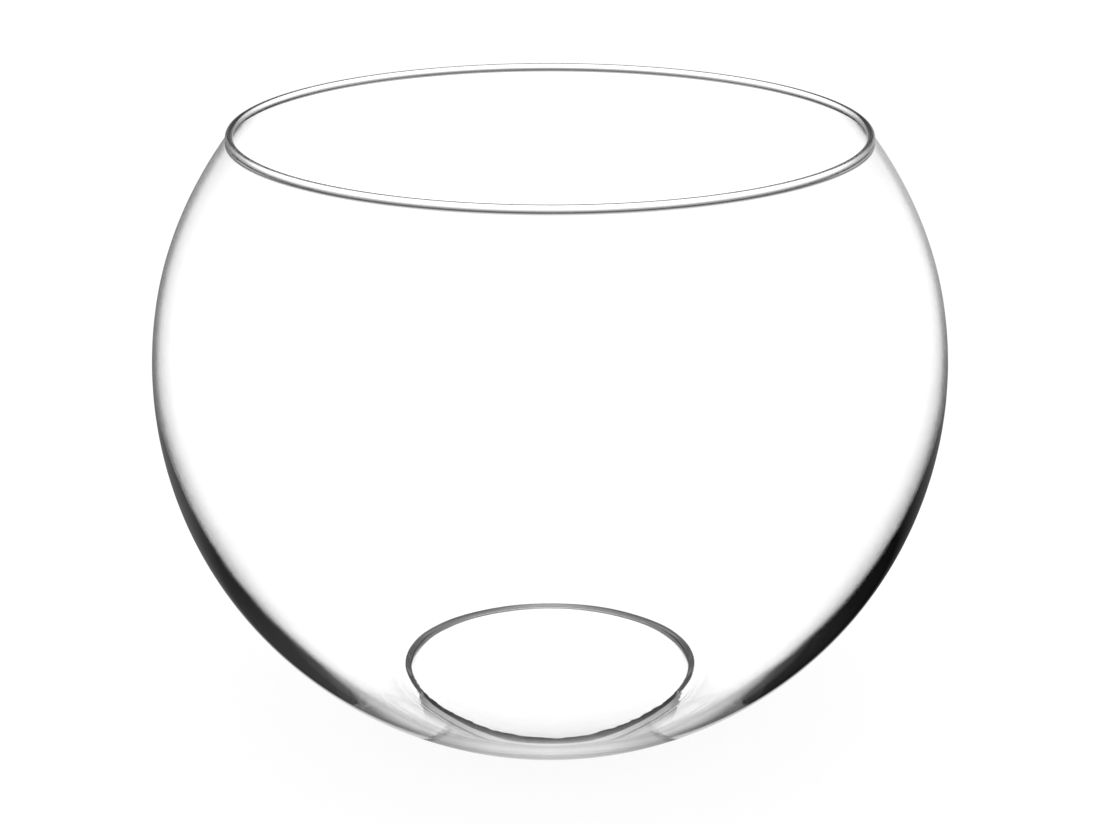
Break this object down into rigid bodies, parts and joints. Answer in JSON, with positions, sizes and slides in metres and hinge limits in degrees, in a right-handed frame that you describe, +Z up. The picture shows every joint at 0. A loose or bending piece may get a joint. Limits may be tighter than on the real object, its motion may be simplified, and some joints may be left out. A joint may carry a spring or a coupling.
{
  "type": "globe vase",
  "caption": "Round clear-glass globe vase with a wide open mouth, a rounded rim bead and a flattened base that stands on a narrow ring; holds water, flowers or decoration.",
  "frame": {"origin": "centre of the base, on the table plane", "axes": "+Z up along the axis of the globe, +X and +Y any two directions across it"},
  "size_m": [0.3, 0.3, 0.2292],
  "materials": {
    "clear_glass": "fire-polished, colourless and clear"
  },
  "bodies": {
    "root": {"rim_bead": "clear_glass", "bowl_wall": "clear_glass", "base_dish": "clear_glass"}
  },
  "joints": []
}
